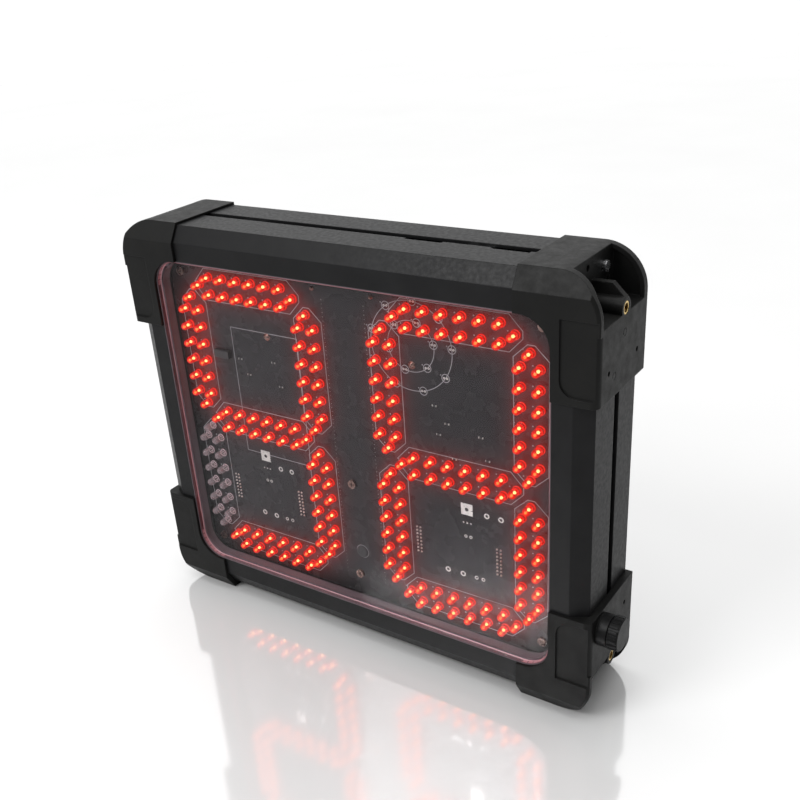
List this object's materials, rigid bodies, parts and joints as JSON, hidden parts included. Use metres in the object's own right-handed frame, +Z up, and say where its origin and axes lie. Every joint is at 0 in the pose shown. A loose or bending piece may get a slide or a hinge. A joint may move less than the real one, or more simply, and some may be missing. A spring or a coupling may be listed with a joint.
{
  "type": "gym round timer",
  "caption": "Free-standing two-digit LED round timer: black extruded frame, moulded corner caps, clear window, side socket with a ribbed cap.",
  "frame": {"origin": "middle of the bounding box at the underside of the lower corner caps", "axes": "+Z up, the display faces -Y, +X to the right of someone looking at the display"},
  "size_m": [0.3434, 0.0619, 0.273],
  "materials": {
    "rail_black": "satin",
    "cap_black": "fine moulded texture",
    "brass": "plain turned",
    "steel": "zinc plated",
    "clear_window": "polished",
    "gasket_grey": "matte",
    "board_black": "solder mask",
    "led_red": "clear tinted",
    "led_clear": "clear",
    "component_black": "moulded",
    "board_green": "solder mask",
    "nylon_white": "moulded",
    "supply_metal": "folded sheet",
    "cell_steel": "polished",
    "board_blue": "solder mask",
    "cable_grey": "extruded",
    "lead_red": "extruded",
    "cover_black": "powder coat",
    "socket_black": "moulded nylon",
    "seal_rubber": "matte"
  },
  "bodies": {
    "frame": {"rail_top": "rail_black", "rail_bottom": "rail_black", "rail_left": "rail_black", "rail_right": "rail_black", "corner_cap_top_left": "cap_black", "corner_cap_top_right": "cap_black", "corner_cap_bottom_left": "cap_black", "corner_cap_bottom_right": "cap_black", "mounting_inserts": "brass", "corner_cap_screws": "steel", "front_window": "clear_window", "window_gasket": "gasket_grey", "display_board": "board_black", "leds_right_digit": "led_red", "leds_left_digit": "led_red", "leds_left_unlit": "led_clear", "board_standoffs": "brass", "board_screws": "brass", "board_headers": "component_black", "segment_driver_chips": "component_black", "controller_board": "board_green", "controller_chips": "component_black", "controller_spacers": "nylon_white", "clock_battery": "cell_steel", "radio_receiver": "board_blue", "buzzer": "component_black", "power_supply": "supply_metal", "ribbon_cable": "cable_grey", "power_leads": "lead_red", "rear_cover": "cover_black", "rear_cover_screws": "steel", "socket_shell": "socket_black", "socket_contacts": "brass", "socket_nut": "steel", "socket_seal": "seal_rubber"},
    "dust_cap": {"socket_dust_cap": "socket_black"},
    "left_nut": {"slot_nut_left": "steel"},
    "right_nut": {"slot_nut_right": "steel"}
  },
  "joints": [
    {"name": "dust_cap_turn", "type": "hinge", "parent": "frame", "child": "dust_cap", "pos_m": [0.16835, -0.01525, 0.061], "axis": [1, 0, 0], "range_deg": [0, 90]},
    {"name": "left_nut_slide", "type": "slide", "parent": "frame", "child": "left_nut", "axis": [1, 0, 0], "range_m": [-0.045, 0.068]},
    {"name": "right_nut_slide", "type": "slide", "parent": "frame", "child": "right_nut", "axis": [1, 0, 0], "range_m": [-0.068, 0.045]}
  ]
}
